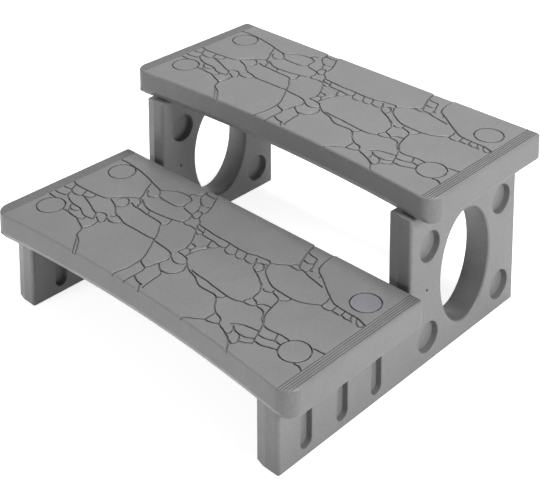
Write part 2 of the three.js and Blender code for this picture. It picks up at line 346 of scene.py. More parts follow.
def around(line, offset):
    """The closed loop that stays at the offset from an open line, with round ends."""
    direction = np.gradient(line, axis=0)
    direction /= np.linalg.norm(direction, axis=1)[:, None]
    normal = np.stack([-direction[:, 1], direction[:, 0]], 1)
    there = list(line + offset * normal) + round_end(line[-1], normal[-1], offset)
    back = list((line - offset * normal)[::-1]) + round_end(line[0], -normal[0], offset)
    return there + back


class Sheet:
    """Lines and closed loops drawn in a plane, meshed together by constrained triangulation."""

    def __init__(self):
        self.points = []
        self.edges = []

    def add(self, points, closed=True):
        """Draws a loop or an open line; returns its points' numbers."""
        first = len(self.points)
        count = len(points)
        self.points.extend((float(p[0]), float(p[1])) for p in points)
        last = count if closed else count - 1
        self.edges.extend((first + i, first + (i + 1) % count) for i in range(last))
        return list(range(first, first + count))

    def mesh(self, keep):
        """Plane points, the triangles whose centres keep() accepts, and each drawn point's index."""
        drawn = [Vector(p) for p in self.points]
        flat, _, triangles, origins, _, _ = delaunay_2d_cdt(drawn, self.edges, [], 1, 1e-5, True)
        points = np.array([tuple(p) for p in flat])
        triangles = np.array(triangles)
        triangles = triangles[keep(points[triangles].mean(1))]
        place = {old: new for new, olds in enumerate(origins) for old in olds}
        return points, triangles, place


def border_loops(triangles):
    """The open edges of a sheet of triangles, walked into closed loops."""
    edges = np.concatenate([triangles[:, [0, 1]], triangles[:, [1, 2]], triangles[:, [2, 0]]])
    known = {(int(a), int(b)) for a, b in edges}
    follow = {a: b for a, b in known if (b, a) not in known}
    loops = []
    while follow:
        start, at = follow.popitem()
        loop = [start]
        while at != start:
            loop.append(at)
            at = follow.pop(at)
        loops.append(loop)
    return loops


# ---- Meshes and pieces -----------------------------------------------------


class Body:
    """Vertices in millimetres and faces, gathered ring by ring."""

    def __init__(self):
        self.points = []
        self.faces = []

    def vertices(self, points):
        """Adds points; returns their numbers."""
        first = len(self.points)
        self.points.extend(tuple(float(v) for v in p) for p in points)
        return list(range(first, first + len(points)))

    def strip(self, ring, other):
        """Quads between two closed rings with the same number of vertices."""
        count = len(ring)
        for i in range(count):
            j = (i + 1) % count
            self.faces.append((ring[i], ring[j], other[j], other[i]))

    def stack(self, ring, *rings):
        """Strips from a ring of vertices through rings of new points; returns the last ring."""
        for points in rings:
            following = self.vertices(points)
            self.strip(ring, following)
            ring = following
        return ring

    def cap(self, ring):
        """Closes a ring with a fan of triangles about its centre."""
        centre = self.vertices([np.mean([self.points[i] for i in ring], axis=0)])[0]
        count = len(ring)
        self.faces.extend((ring[i], ring[(i + 1) % count], centre) for i in range(count))


def make_mesh(name, body, sharp_degrees):
    """A smooth-shaded mesh in metres, with edges sharper than the angle left crisp."""
    mesh = bpy.data.meshes.new(name)
    mesh.from_pydata([Vector(p) * MM for p in body.points], [], body.faces)
    mesh.validate()
    shape = bmesh.new()
    shape.from_mesh(mesh)
    bmesh.ops.delete(shape, geom=[v for v in shape.verts if not v.link_faces], context="VERTS")
    bmesh.ops.remove_doubles(shape, verts=shape.verts, dist=0.002 * MM)
    bmesh.ops.dissolve_degenerate(shape, edges=shape.edges, dist=0.001 * MM)
    bmesh.ops.recalc_face_normals(shape, faces=shape.faces)
    shape.to_mesh(mesh)
    shape.free()
    smooth(mesh, sharp_degrees)
    return mesh


def smooth(mesh, sharp_degrees):
    """Shades a mesh smooth, apart from the edges sharper than the angle."""
    for polygon in mesh.polygons:
        polygon.use_smooth = True
    mesh.set_sharp_from_angle(angle=math.radians(sharp_degrees))


def add_object(name, data):
    """A new object in the scene."""
    thing = bpy.data.objects.new(name, data)
    bpy.context.scene.collection.objects.link(thing)
    return thing


def piece(name, mesh, material, node, body, location):
    """An object that stands for a CAD node and rides on its body, with even shading on its flat faces."""
    thing = add_object(name, mesh.copy())
    thing.location = Vector(location) * MM
    thing.data.materials.clear()
    thing.data.materials.append(material)
    even = thing.modifiers.new("even", "WEIGHTED_NORMAL")
    even.keep_sharp = True
    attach(thing, body)
    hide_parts(node)


def level_circle(radius, z, steps):
    """A level circle about the Z axis."""
    return [(x, y, z) for x, y in circle((0, 0), radius, steps)]


def turned(profile, steps):
    """A body turned about Z from (radius, z) points; radius 0 at both ends closes it."""
    body = Body()
    rings = [body.vertices(level_circle(radius, z, steps)) for radius, z in profile if radius > 0]
    for ring, other in zip(rings, rings[1:]):
        body.strip(ring, other)
    if profile[0][0] == 0:
        body.cap(rings[0])
        body.cap(rings[-1])
    else:
        body.strip(rings[-1], rings[0])
    return body


def prism(outline, rings):
    """A closed body from an outline function of growth, through (growth, z) rings."""
    body = Body()
    shapes = [body.vertices([(x, y, z) for x, y in outline(grow)]) for grow, z in rings]
    for ring, other in zip(shapes, shapes[1:]):
        body.strip(ring, other)
    body.cap(shapes[0])
    body.cap(shapes[-1])
    return body


# ---- Stone pattern ---------------------------------------------------------
# Seams between the stones, seen from above, about the centre of the tread's four caps.

LONG_SEAMS = [
    # rear left, past the cap and up round the broad stone
    [(-371, 122), (-350, 123), (-330, 121.5), (-310, 119), (-290, 115), (-270, 110.5), (-245, 103),
     (-222, 97)],
    [(-254, 106), (-249, 98), (-243, 86), (-238, 76), (-229, 63), (-221, 47)],
    [(-216, 47), (-205, 42), (-195, 36), (-185, 33), (-170, 31.5), (-150, 33), (-125, 37), (-100, 44),
     (-94, 48)],
    # rear notch and the slanting line down to the middle
    [(-144, 170), (-142, 155), (-139, 142), (-136, 132), (-124, 121), (-115, 113), (-107, 102), (-101, 92)],
    [(-116, 170), (-112, 157), (-103, 140), (-95, 125), (-87, 107), (-86, 96)],
    [(-101, 94), (-91, 95), (-87, 90), (-84, 82), (-80, 76), (-69, 69), (-62, 54), (-50, 39), (-35, 19),
     (-25, -3)],
    [(-66, 63), (-45, 61), (-15, 58), (20, 58), (50, 56.5), (76, 58), (90, 63), (112, 66), (122, 66.5),
     (127, 62)],
    # left, under the broad stone
    [(-371, -3), (-355, -7), (-325, -6), (-295, -3.5), (-275, 0), (-266, 7), (-255, 20), (-243, 33),
     (-221, 47)],
    [(-262, 5), (-248, 0), (-235, -6), (-222, -16), (-210, -24), (-195, -27), (-180, -32), (-172, -34)],
    [(-172, -34), (-140, -33), (-105, -33), (-92, -30), (-85, -33), (-60, -35.5), (-37, -38), (-24, -46),
     (-12, -53)],
    [(-310, -25), (-285, -33), (-255, -45), (-240, -50), (-230, -65)],
    [(-342, -40), (-328, -50), (-305, -57), (-280, -58), (-262, -67), (-248, -69), (-231, -66)],
    [(-221, 24), (-207, 20), (-190, 20), (-165, 17), (-140, 17), (-122, 14), (-112, 2), (-99, -13),
     (-84, -37)],
    [(-84, -37), (-71, -58), (-59, -80), (-54, -100), (-53, -125), (-57, -145), (-58, -170)],
    # front left
    [(-371, -65), (-360, -66), (-350, -67), (-345, -72)],
    [(-306, -83), (-290, -82), (-270, -84), (-255, -85), (-243, -91), (-219, -101), (-210, -119),
     (-195, -133), (-171, -158), (-164, -168)],
    # front middle
    [(-52, -94), (-46, -98), (-32, -103), (-27, -112), (-27, -135), (-26, -170)],
    [(-22, -77), (-7, -88), (5, -95), (8, -115), (11, -138), (14, -146)],
    [(3, -31), (18, -44), (35, -54), (58, -61), (75, -71), (90, -74), (120, -73), (133, -80), (147, -97),
     (162, -108)],
    [(162, -108), (179, -113), (188, -125), (206, -132), (225, -141), (240, -155), (252, -172)],
    # right, round the two broad stones
    [(106, 46), (112, 33), (128, 24), (148, 13), (163, 0), (173, -12), (177, -32), (190, -38), (198, -46)],
    [(128, 55), (138, 38), (155, 26), (175, 15), (190, 12), (220, 10.5), (240, 12.5), (257, 19), (279, 33)],
    [(192, 1), (205, -2), (215, -9), (219, -25), (228, -55), (241, -72), (251, -92), (262, -116),
     (266, -122)],
    [(145, 170), (147, 155), (153, 132), (162, 110), (170, 94), (178, 88)],
    [(196, 170), (195, 145), (200, 118), (209, 104), (224, 95), (248, 78), (266, 66), (292, 51), (327, 47.5)],
    [(327, 47.5), (350, 47), (371, 41)],
    [(262, -116), (277, -117), (290, -113), (309, -106)],
]

SHORT_SEAMS = [
    # small stones at the rear left
    [(-222, 97), (-212, 98), (-202, 106), (-186, 116), (-165, 120), (-150, 118), (-140, 112)],
    [(-140, 112), (-138, 95), (-134, 86), (-127, 81.5), (-104, 77), (-88, 70)],
    [(-222, 97), (-208, 88), (-199, 79), (-185, 76), (-150, 76.5), (-142, 81), (-138, 92)],
    [(-234, 80), (-226, 70), (-215, 64), (-203, 69), (-200, 79)],
    [(-150, 118), (-159, 124), (-160, 129), (-152, 132), (-145, 135), (-139, 146)],
    [(-141, 152), (-130, 150), (-112, 150)],
    [(-124, 121), (-114, 115), (-104, 114), (-93, 119)],
    [(-98, 73), (-93, 62), (-94, 49), (-84, 44.5), (-72, 48), (-58, 46)],
    [(-92, 70), (-84, 73), (-80, 76)],
    [(-105, 94), (-103, 85), (-104, 77)],
    # thin stones under the long left-hand stone
    [(-208, 43), (-206, 34), (-204, 26), (-200, 22)],
    [(-173, 30), (-168, 24), (-164, 18)],
    [(-116, 37), (-111, 27), (-110, 19), (-115, 12)],
    [(-221, 47), (-212, 39), (-207, 36)],
    # round stone on the left
    [(-252, 14), (-248, 24), (-238, 29.5), (-226, 22), (-221, 12), (-223, 3), (-231, -4)],
    # cluster on the left
    [(-358, -10), (-350, -24), (-343, -33), (-342, -41)],
    [(-371, -28), (-360, -27), (-351, -24)],
    [(-347, -27), (-338, -31), (-325, -31), (-317, -26), (-319, -18), (-323, -8)],
    [(-317, -26), (-310, -25), (-300, -21), (-294, -15), (-296, -6)],
    [(-371, -50), (-360, -51), (-341, -47)],
    [(-304, -60), (-300, -68), (-288, -72), (-278, -68), (-276, -60)],
    [(-297, -69), (-292, -77), (-286, -82)],
    [(-247, -71), (-244, -78), (-251, -84)],
    [(-245, -46), (-237, -40), (-225, -37.5), (-216, -43), (-207, -57), (-213, -64), (-223, -60),
     (-231, -56)],
    [(-216, -64), (-213, -78), (-215, -90), (-219, -101)],
    [(-213, -36), (-207, -31), (-205, -26)],
    [(-213, -45), (-200, -48.5), (-188, -46), (-182, -38), (-181, -33)],
    [(-206, -122), (-190, -131), (-178, -142), (-166, -155), (-158, -168)],
    # middle
    [(-62, 55), (-52, 50), (-40, 49)],
    [(-45, 60), (-38, 50), (-35, 43), (-20, 41.5), (0, 41), (15, 38), (26, 40), (29, 46), (26, 57)],
    [(-50, 40), (-41, 37), (-35, 42)],
    [(-5, 40), (-2, 30), (6, 18)],
    [(0, 22), (8, 22), (16, 28), (19, 37)],
    [(30, 46), (34, 35), (46, 31), (55, 35), (57, 43), (49, 56)],
    [(57, 41), (65, 34), (75, 35), (80, 41), (73, 56)],
    [(80, 41), (90, 37), (101, 38), (103, 48), (97, 57)],
    [(98, 55), (106, 46), (110, 38)],
    [(106, 47), (117, 51), (127, 46), (131, 38), (126, 25)],
    [(127, 62), (126, 55), (113, 51)],
    [(-28, 8), (-16, 7.5), (-12, 2), (-14, -6), (-7, -14), (-4, -28)],
    [(8, 17), (1, 6), (-2, -6), (-4, -20)],
    [(-25, -3), (-23, -14), (-26, -27), (-10, -28.5), (3, -31)],
    [(-14, -6), (-20, -9), (-24, -8)],
    [(-12, -53), (-2, -55), (8, -52), (15, -43)],
    [(-24, -46), (-19, -57), (-24, -75), (-26, -90), (-31, -102)],
    [(20, -48), (27, -61), (23, -77), (13, -87), (-2, -89)],
    [(-24, -133), (-12, -139), (6, -142)],
    [(2, -142), (9, -151), (20, -165)],
    # front right
    [(37, -50), (58, -53), (80, -54), (105, -57.5), (140, -61), (158, -60), (173, -54), (190, -52),
     (198, -46)],
    [(139, -61), (138, -69), (128, -76)],
    [(160, -108), (161, -120), (161, -132), (172, -132), (187, -125)],
    [(161, -132), (147, -143), (133, -152), (124, -166)],
    [(201, -111), (211, -103), (225, -97.5), (249, -93)],
    [(209, -112), (218, -118), (232, -121), (247, -119), (258, -112)],
    [(211, -113), (217, -122), (218, -130), (214, -135)],
    [(232, -121), (240, -129), (244, -138), (240, -147), (228, -143)],
    [(244, -135), (255, -130), (266, -122)],
    [(232, -67), (248, -77), (265, -78), (285, -75), (309, -76)],
    [(280, -77), (285, -87), (289, -93), (306, -94)],
    [(255, -100), (270, -100), (289, -93)],
    [(345, -70), (350, -64), (360, -63), (371, -62)],
    [(347, -109), (352, -114), (360, -113), (371, -119)],
    # between the two broad stones on the right
    [(172, -2), (178, -5), (187, -2), (192, 1)],
    [(190, 12), (189, 5), (192, 1)],
    [(228, 10), (229, 5), (224, -2), (218, -7)],
    [(164, 1), (160, 6), (156, 8)],
    [(176, -38), (172, -47), (175, -54)],
    [(196, -42), (205, -34), (219, -32)],
    [(198, -46), (213, -47.5), (222, -53), (231, -66)],
    # rear right
    [(153, 138), (165, 135), (178, 133), (184, 119), (190, 108), (192, 96), (200, 96)],
    [(163, 115), (170, 112), (178, 113), (184, 119)],
    [(178, 88), (190, 86), (205, 81), (225, 77), (245, 73)],
    [(192, 96), (191, 87)],
    [(219, 98), (222, 90)],
    [(127, 64), (140, 71), (150, 79), (159, 82), (176, 81), (184, 87)],
    [(157, 82), (160, 90), (167, 94)],
    # row of small stones beyond the right-hand stone
    [(275, 60), (279, 46), (279, 34), (287, 28.5), (298, 30), (303, 33), (318, 32)],
    [(300, 50), (302, 40), (302, 32)],
    [(318, 32), (323, 35), (332, 32), (342, 33), (348, 31.5)],
    [(321, 48), (322, 34)],
    [(337, 47), (341, 38), (347, 31.5)],
    [(349, 46), (355, 36), (363, 31), (370, 34), (367, 42)],
]

ROUGH_STONE = [(-43, 28), (-35, 40), (-8, 38), (-4, 27), (2, 19), (-13, 10), (-27, 13), (-36, 22)]

# The grid of points on the rough stone covers these ranges.
ROUGH_ACROSS = (-42, 3)
ROUGH_ALONG = (8, 42)

# Small stones that lie lower than the broad ones beside them, out to the rear edge.
SUNKEN_STONES = (
    [(-144, 175), (-142, 155), (-136, 132), (-124, 121), (-104, 114), (-95, 125), (-112, 157), (-116, 175)],
    [(145, 175), (147, 155), (153, 132), (170, 94), (178, 88), (209, 104), (200, 118), (195, 145),
     (196, 175)],
)


def seam_lines():
    """Each seam as a smooth, slightly uneven line, with its share of the full width and depth."""
    lines = []
    for seams, share in ((LONG_SEAMS, 1.0), (SHORT_SEAMS, SHORT_SHARE)):
        for corners in seams:
            line = smooth_line(corners, SEAM_STEP)
            for point in line[1:-1]:
                point += (rng.uniform(-SEAM_WANDER, SEAM_WANDER), rng.uniform(-SEAM_WANDER, SEAM_WANDER))
            lines.append((line, share))
    return lines


# ---- Tread -----------------------------------------------------------------

CAP_PLACES = [(x, y) for x in (-CAP_COLUMN, CAP_COLUMN) for y in (-CAP_SPACING / 2, CAP_SPACING / 2)]


def tread_outline(inset, corner_steps=(12, 8), end_points=9, rear_points=31, bow_steps=60):
    """The tread's outline drawn in by an inset: bowed front, large front corners, small rear corners."""
    bow_radius = (TREAD_HALF**2 + BOW**2) / (2 * BOW)
    reach = (bow_radius + FRONT_CORNER) ** 2 - (TREAD_HALF - FRONT_CORNER) ** 2
    bow_centre = TREAD_FRONT + FRONT_CORNER - math.sqrt(reach)
    corner_x = TREAD_HALF - FRONT_CORNER
    corner_y = TREAD_FRONT + FRONT_CORNER
    lean = math.degrees(math.atan2(corner_x, corner_y - bow_centre))
    rear = max(REAR_CORNER - inset, SMALLEST_CORNER)
    rear_x = TREAD_HALF - inset - rear
    rear_y = TREAD_REAR - inset - rear
    right = arc((corner_x, corner_y), FRONT_CORNER - inset, -90 - lean, 0, corner_steps[0])
    right += [(TREAD_HALF - inset, y) for y in np.linspace(corner_y, rear_y, end_points)[1:-1]]
    right += arc((rear_x, rear_y), rear, 0, 90, corner_steps[1])
    back = [(x, TREAD_REAR - inset) for x in np.linspace(rear_x, -rear_x, rear_points)[1:-1]]
    left = [(-x, y) for x, y in reversed(right)]
    bow = arc((0, bow_centre), bow_radius + inset, 90 + lean, 90 - lean, bow_steps)[1:-1]
    return right + back + left + bow


def round_over(distance, radius):
    """How far a surface has dropped at a distance inside the start of a rounded edge."""
    across = np.clip(radius - distance, 0, radius)
    return radius - np.sqrt(radius**2 - across**2)


def seam_depth(points, lines):
    """How deep the seams are at each point."""
    depth = np.zeros(len(points))
    for share in sorted({share for _, share in lines}):
        chosen = [line for line, own_share in lines if own_share == share]
        starts = np.concatenate([line[:-1] for line in chosen])
        ends = np.concatenate([line[1:] for line in chosen])
        distance = nearest(points, starts, ends)
        cut = share * np.interp(distance / share, SEAM_OFFSETS, SEAM_DEPTHS)
        depth = np.maximum(depth, cut)
    return depth


def rib_depth(points):
    """How deep the grooves of the two end bands are at each point."""
    depth = np.zeros(len(points))
    for i in range(RIB_COUNT):
        offset = np.abs(np.abs(points[:, 0]) - RIB_FIRST - i * RIB_PITCH)
        depth = np.maximum(depth, np.interp(offset, RIB_OFFSETS, RIB_DEPTHS))
    depth[points[:, 1] > RIB_END + TOUCH] = 0
    return depth


def tread_height(points, lines, outline):
    """Height of the tread's top above its flat level, which is never above 0."""
    drop = round_over(nearest(points, *segments_of(outline)), EDGE_ROUND)
    for centre in CAP_PLACES:
        radial = np.hypot(*(points - centre).T)
        drop = np.maximum(drop, round_over(radial - WELL_RADIUS, WELL_ROUND))
    for stones in SUNKEN_STONES:
        drop[inside(points, stones)] += SUNK_BY
    seam = seam_depth(points, lines)
    rough = inside(points, ROUGH_STONE) & (seam < TOUCH)
    pits = np.where(rough, [rng.uniform(0.0, ROUGH_DEPTH) for _ in points], 0)
    return -drop - np.maximum(rib_depth(points), seam) - pits


def tread_top_sheet(lines):
    """Every line that the tread's top needs: its rounded edges, wells, ribs, rough stone and seams."""
    sheet = Sheet()
    for angle in QUARTER:
        sheet.add(tread_outline(EDGE_ROUND * (1 - math.cos(angle))))
    sheet.add(tread_outline(EDGE_ROUND + FLAT_MARGIN))
    for centre in CAP_PLACES:
        for beyond in WELL_LINES:
            sheet.add(circle(centre, WELL_RADIUS + beyond, WELL_STEPS))
    for side in (-1, 1):
        for i in range(RIB_COUNT):
            for offset in RIB_LINES:
                x = side * (RIB_FIRST + i * RIB_PITCH) + offset
                sheet.add([(x, TREAD_FRONT - OVERSHOOT), (x, RIB_END)], closed=False)
    for x in np.arange(*ROUGH_ACROSS, ROUGH_GRID):
        for y in np.arange(*ROUGH_ALONG, ROUGH_GRID):
            shift_x = rng.uniform(-ROUGH_JITTER, ROUGH_JITTER)
            shift_y = rng.uniform(-ROUGH_JITTER, ROUGH_JITTER)
            sheet.add([(x + shift_x, y + shift_y)], closed=False)
    for line, share in lines:
        sheet.add(line, closed=False)
        for offset in SEAM_OFFSETS[1:]:
            sheet.add(around(line, offset * share))
    return sheet


def tread_body():
    """The tread, about the centre of its caps: top, sides, wells and underside."""
    lines = seam_lines()
    outline = tread_outline(0.0)
    mouths = [circle(centre, WELL_RADIUS, WELL_STEPS) for centre in CAP_PLACES]
    flat, triangles, _ = tread_top_sheet(lines).mesh(within(outline, mouths))
    heights = tread_height(flat, lines, outline)
    body = Body()
    body.vertices(np.column_stack([flat, heights]))
    body.faces.extend(map(tuple, triangles.tolist()))

    screw_rings = {centre: None for centre in CAP_PLACES}
    for loop in border_loops(triangles):
        at = flat[loop]
        centre = min(CAP_PLACES, key=lambda c: np.hypot(*(at.mean(0) - c)))
        if np.hypot(*(at.mean(0) - centre)) < WELL_RADIUS:
            screw_rings[centre] = well(body, loop, at, centre)
        else:
            rim = skirt(body, loop, at)
    close_underside(body, rim, screw_rings)
    return body


def skirt(body, loop, at):
    """The tread's side, down to the edge of its underside."""
    along = np.roll(at, -1, axis=0) - np.roll(at, 1, axis=0)
    inward = np.stack([-along[:, 1], along[:, 0]], 1) / np.linalg.norm(along, axis=1)[:, None]
    inward *= -np.sign((inward * at).sum())
    front = np.interp(inward[:, 1], LIP_FADE, (0.0, 1.0))
    height, inset = (low + (high - low) * front for high, low in zip(LIP_FRONT, LIP_ENDS))
    level = np.full(len(at), THICKNESS)
    upright = np.zeros(len(at))
    steps = (
        (upright, SIDE_LINE * level),
        (upright, level - height),
        (inset - 0.4 * BOTTOM_ROUND, level - BOTTOM_ROUND),
        (inset + 0.6 * BOTTOM_ROUND, level),
    )
    rings = [np.column_stack([at + inward * step[:, None], -depth]) for step, depth in steps]
    return body.stack(loop, *rings)


def well(body, loop, at, centre):
    """The stepped round recess under a cap, down to its screw hole."""
    outward = (at - centre) / np.hypot(*(at - centre).T)[:, None]
    steps = (
        (WELL_RADIUS, WELL_LEDGE - LEDGE_FILLET),
        (WELL_RADIUS - LEDGE_FILLET, WELL_LEDGE),
        (WELL_BORE + HOLE_CHAMFER, WELL_LEDGE),
        (WELL_BORE, WELL_LEDGE + HOLE_CHAMFER),
        (WELL_BORE, WELL_DEPTH - BORE_FILLET),
        (WELL_BORE - BORE_FILLET, WELL_DEPTH),
        (SCREW_HOLE + HOLE_CHAMFER, WELL_DEPTH),
        (SCREW_HOLE, WELL_DEPTH + HOLE_CHAMFER),
        (SCREW_HOLE, THICKNESS - SOCKET_DEPTH),
    )
    rings = [np.column_stack([centre + outward * r, np.full(len(at), -depth)]) for r, depth in steps]
    return body.stack(loop, *rings)


def add_flat(body, outer, holes, z, known):
    """Adds a level face with holes; loops numbered in known reuse their vertices. Returns the rings."""
    sheet = Sheet()
    drawn = [sheet.add(loop) for loop in (outer, *holes)]
    flat, triangles, place = sheet.mesh(within(outer, holes))
    index = {}
    for number, ring in known.items():
        for point, vertex in zip(drawn[number], ring):
            index[place[point]] = vertex
    for old in sorted(set(triangles.ravel().tolist())):
        if old not in index:
            index[old] = body.vertices([(*flat[old], z)])[0]
    body.faces.extend(tuple(index[v] for v in triangle) for triangle in triangles.tolist())
    return [[index[place[point]] for point in loop] for loop in drawn]


def close_underside(body, rim, screw_rings):
    """The flat underside with a socket for each side panel's tenon, and a blind vent hole."""
    half, radius = TENON_HALF + SOCKET_PLAY, TENON_RADIUS + SOCKET_PLAY
    vent = circle((0, 0), VENT_RADIUS, steps=24)
    mouths = [stadium((side * CAP_COLUMN, 0), half, radius, steps=12) for side in (-1, 1)]
    outer = [body.points[i][:2] for i in rim]
    rings = add_flat(body, outer, (*mouths, vent), -THICKNESS, {0: rim})
    roof = SOCKET_DEPTH - THICKNESS
    for side, mouth, ring in zip((-1, 1), mouths, rings[1:3]):
        ceiling = body.stack(ring, [(x, y, roof) for x, y in mouth])
        bores = [bore for centre, bore in screw_rings.items() if centre[0] * side > 0]
        holes = [[body.points[i][:2] for i in bore] for bore in bores]
        add_flat(body, mouth, holes, roof, dict(enumerate([ceiling, *bores])))
    body.cap(body.stack(rings[3], [(x, y, VENT_DEPTH - THICKNESS) for x, y in vent]))


# ---- Side panels -----------------------------------------------------------
# A panel is drawn in (y, z), about its own middle plane.

# outline(grow) gives the hollow's outline; profiles are its depths at distances in, on the +X and -X faces;
# floor_line is how far inside the profile one more line keeps the floor flat.
Hollow = namedtuple("Hollow", "outline profiles floor_line")
# One more line this far outside a hollow's profile keeps the face about it flat.
BORDER_LINE = 1.5


def rounded_path(corners, steps=6):
    """A closed outline through (y, z, radius) corners that all turn by a right angle."""
    points = []
    for i, (y, z, radius) in enumerate(corners):
        at = np.array([y, z])
        if radius <= 0:
            points.append(at)
            continue
        before = np.array(corners[i - 1][:2]) - at
        after = np.array(corners[(i + 1) % len(corners)][:2]) - at
        before = before / np.linalg.norm(before) * radius
        after = after / np.linalg.norm(after) * radius
        for angle in np.linspace(0, math.pi / 2, steps + 1):
            points.append(at + before * (1 - math.sin(angle)) + after * (1 - math.cos(angle)))
    return points


def panel_outline(inset, floor, foot_front, foot_rear):
    """The stair-shaped outline drawn in by an inset, with its foot at the floor height."""
    low, high = SHOULDER["lower"] - inset, SHOULDER["upper"] - inset
    corner = max(SHOULDER_ROUND - inset, 0)
    return rounded_path(
        [
            (PANEL_FRONT + inset, floor, foot_front),
            (PANEL_REAR - inset, floor, foot_rear),
            (PANEL_REAR - inset, high, corner),
            (RISER + inset, high, corner),
            (RISER + inset, low, 0),
            (PANEL_FRONT + inset, low, corner),
        ]
    )


def corner_distance(across, down, radius):
    """Distance in from two edges that meet in a rounded corner."""
    a, b = radius - across, radius - down
    return radius - np.hypot(np.maximum(a, 0), np.maximum(b, 0)) - np.minimum(np.maximum(a, b), 0)


def panel_inset(points):
    """Distance in from the panel's outline, mitred where the riser meets the lower shoulder."""
    y, z = points.T
    step = corner_distance(y - PANEL_FRONT, SHOULDER["lower"] - z, SHOULDER_ROUND)
    step = np.minimum(step, PANEL_REAR - y)
    tower = corner_distance(y - RISER, SHOULDER["upper"] - z, SHOULDER_ROUND)
    tower = np.minimum(tower, corner_distance(PANEL_REAR - y, SHOULDER["upper"] - z, SHOULDER_ROUND))
    return np.maximum(step, tower)


def oval(grow, steps=96):
    """The window's outline, pushed outwards by an even amount."""
    points = []
    centre = np.array(WINDOW_CENTRE)
    for angle in np.linspace(0, 2 * math.pi, steps, endpoint=False):
        y, z = WINDOW_HALF[0] * math.cos(angle), WINDOW_HALF[1] * math.sin(angle)
        normal = np.array([y / WINDOW_HALF[0] ** 2, z / WINDOW_HALF[1] ** 2])
        points.append(np.array([y, z]) + centre + grow * normal / np.linalg.norm(normal))
    return points


def pocket_profile(rim, draft, depth, fillet):
    """Depths of a pressed pocket at distances in from its outline: rounded rim, steep wall, flat floor."""
    profile = [(rim * (math.sin(a) - 0.5), rim * (1 - math.cos(a))) for a in COARSE_QUARTER]
    for angle in (0, math.pi / 4, math.pi / 2):
        inset = rim / 2 + draft + fillet * (1 - math.cos(angle))
        profile.append((inset, depth - fillet * (1 - math.sin(angle))))
    return profile


def window_profile(rim, depth):
    """The window's wall from one face to the parting plane."""
    profile = [(rim * (math.sin(a) - 1) + WINDOW_RIM_INSET, rim * (1 - math.cos(a))) for a in QUARTER]
    return profile + [(WINDOW_DRAFT, depth)]


def dimples():
    """The four round pockets, about the window."""
    profile = pocket_profile(rim=1.8, draft=1.6, depth=DIMPLE_DEPTH, fillet=1.2)
    hollows = []
    for y in (-0.5, 0.5):
        for z in (-0.5, 0.5):
            centre = (WINDOW_CENTRE[0] + y * DIMPLE_SPACING[0], DIMPLE_LEVEL + z * DIMPLE_SPACING[1])
            outline = growing_circle(centre, DIMPLE_RADIUS, steps=64)
            hollows.append(Hollow(outline, (profile, profile), floor_line=0.8))
    return hollows


def slots():
    """The three round-ended slots under the lower tread."""
    profile = pocket_profile(rim=1.8, draft=1.2, depth=SLOT_DEPTH, fillet=1.0)
    hollows = []
    for step in (-1, 0, 1):
        centre = (SLOT_MIDDLE + step * SLOT_SPACING, (SLOT_BOTTOM + SLOT_TOP) / 2)
        outline = growing_stadium(centre, (SLOT_TOP - SLOT_BOTTOM) / 2, SLOT_RADIUS, steps=18)
        hollows.append(Hollow(outline, (profile, profile), floor_line=0.8))
    return hollows


def needle_hole():
    """The small hole left by the blowing needle, on the +X face only."""
    profile = [(-0.4, 0.0), (0.0, 0.5), (0.15, NEEDLE_DEPTH)]
    outline = growing_circle(NEEDLE_PLACE, NEEDLE_RADIUS, steps=20)
    return Hollow(outline, (profile, None), floor_line=0.5)


def window():
    """The oval window, right through, with its parting plane nearer the -X face."""
    plus = window_profile(WINDOW_RIMS[0], 2 * PANEL_HALF - PARTING)
    minus = window_profile(WINDOW_RIMS[1], PARTING)
    return Hollow(oval, (plus, minus), floor_line=None)


def panel_depth(points, hollows, side):
    """How far the +X face (side 0) or the -X face (side 1) lies below its flat level."""
    inset = panel_inset(points)
    drop = np.interp(inset, FLARE_INSETS, FLARE_DROPS) if side else round_over(inset, PANEL_ROUND)
    drop = np.maximum(drop, round_over(points[:, 1], FOOT_ROUND))
    for hollow in hollows:
        if hollow.profiles[side]:
            outline = hollow.outline(0)
            distance = nearest(points, *segments_of(outline))
            inward = np.where(inside(points, outline), distance, -distance)
            drop = np.maximum(drop, np.interp(inward, *np.transpose(hollow.profiles[side])))
    return drop


def panel_sheet(footprint, hollows):
    """Every line that the panel's two faces need: outline, rounded edges, foot and hollows."""
    sheet = Sheet()
    sheet.add(footprint)
    rounding = [PANEL_ROUND * (1 - math.cos(angle)) for angle in COARSE_QUARTER[1:]]
    for inset in (*rounding, *FLARE_INSETS[1:], PANEL_ROUND + FLAT_MARGIN):
        sheet.add(panel_outline(inset, -PANEL_ROUND, 0, 0))
    for share in (0.3, 1.0, 2.5):
        z = share * FOOT_ROUND
        sheet.add([(PANEL_FRONT - OVERSHOOT, z), (PANEL_REAR + OVERSHOOT, z)], closed=False)
    for hollow in hollows:
        insets = {round(inset, 3) for profile in hollow.profiles if profile for inset, _ in profile}
        for inset in sorted(insets | {min(insets) - BORDER_LINE}):
            sheet.add(hollow.outline(-inset))
        if hollow.floor_line:
            sheet.add(hollow.outline(-max(insets) - hollow.floor_line))
    return sheet


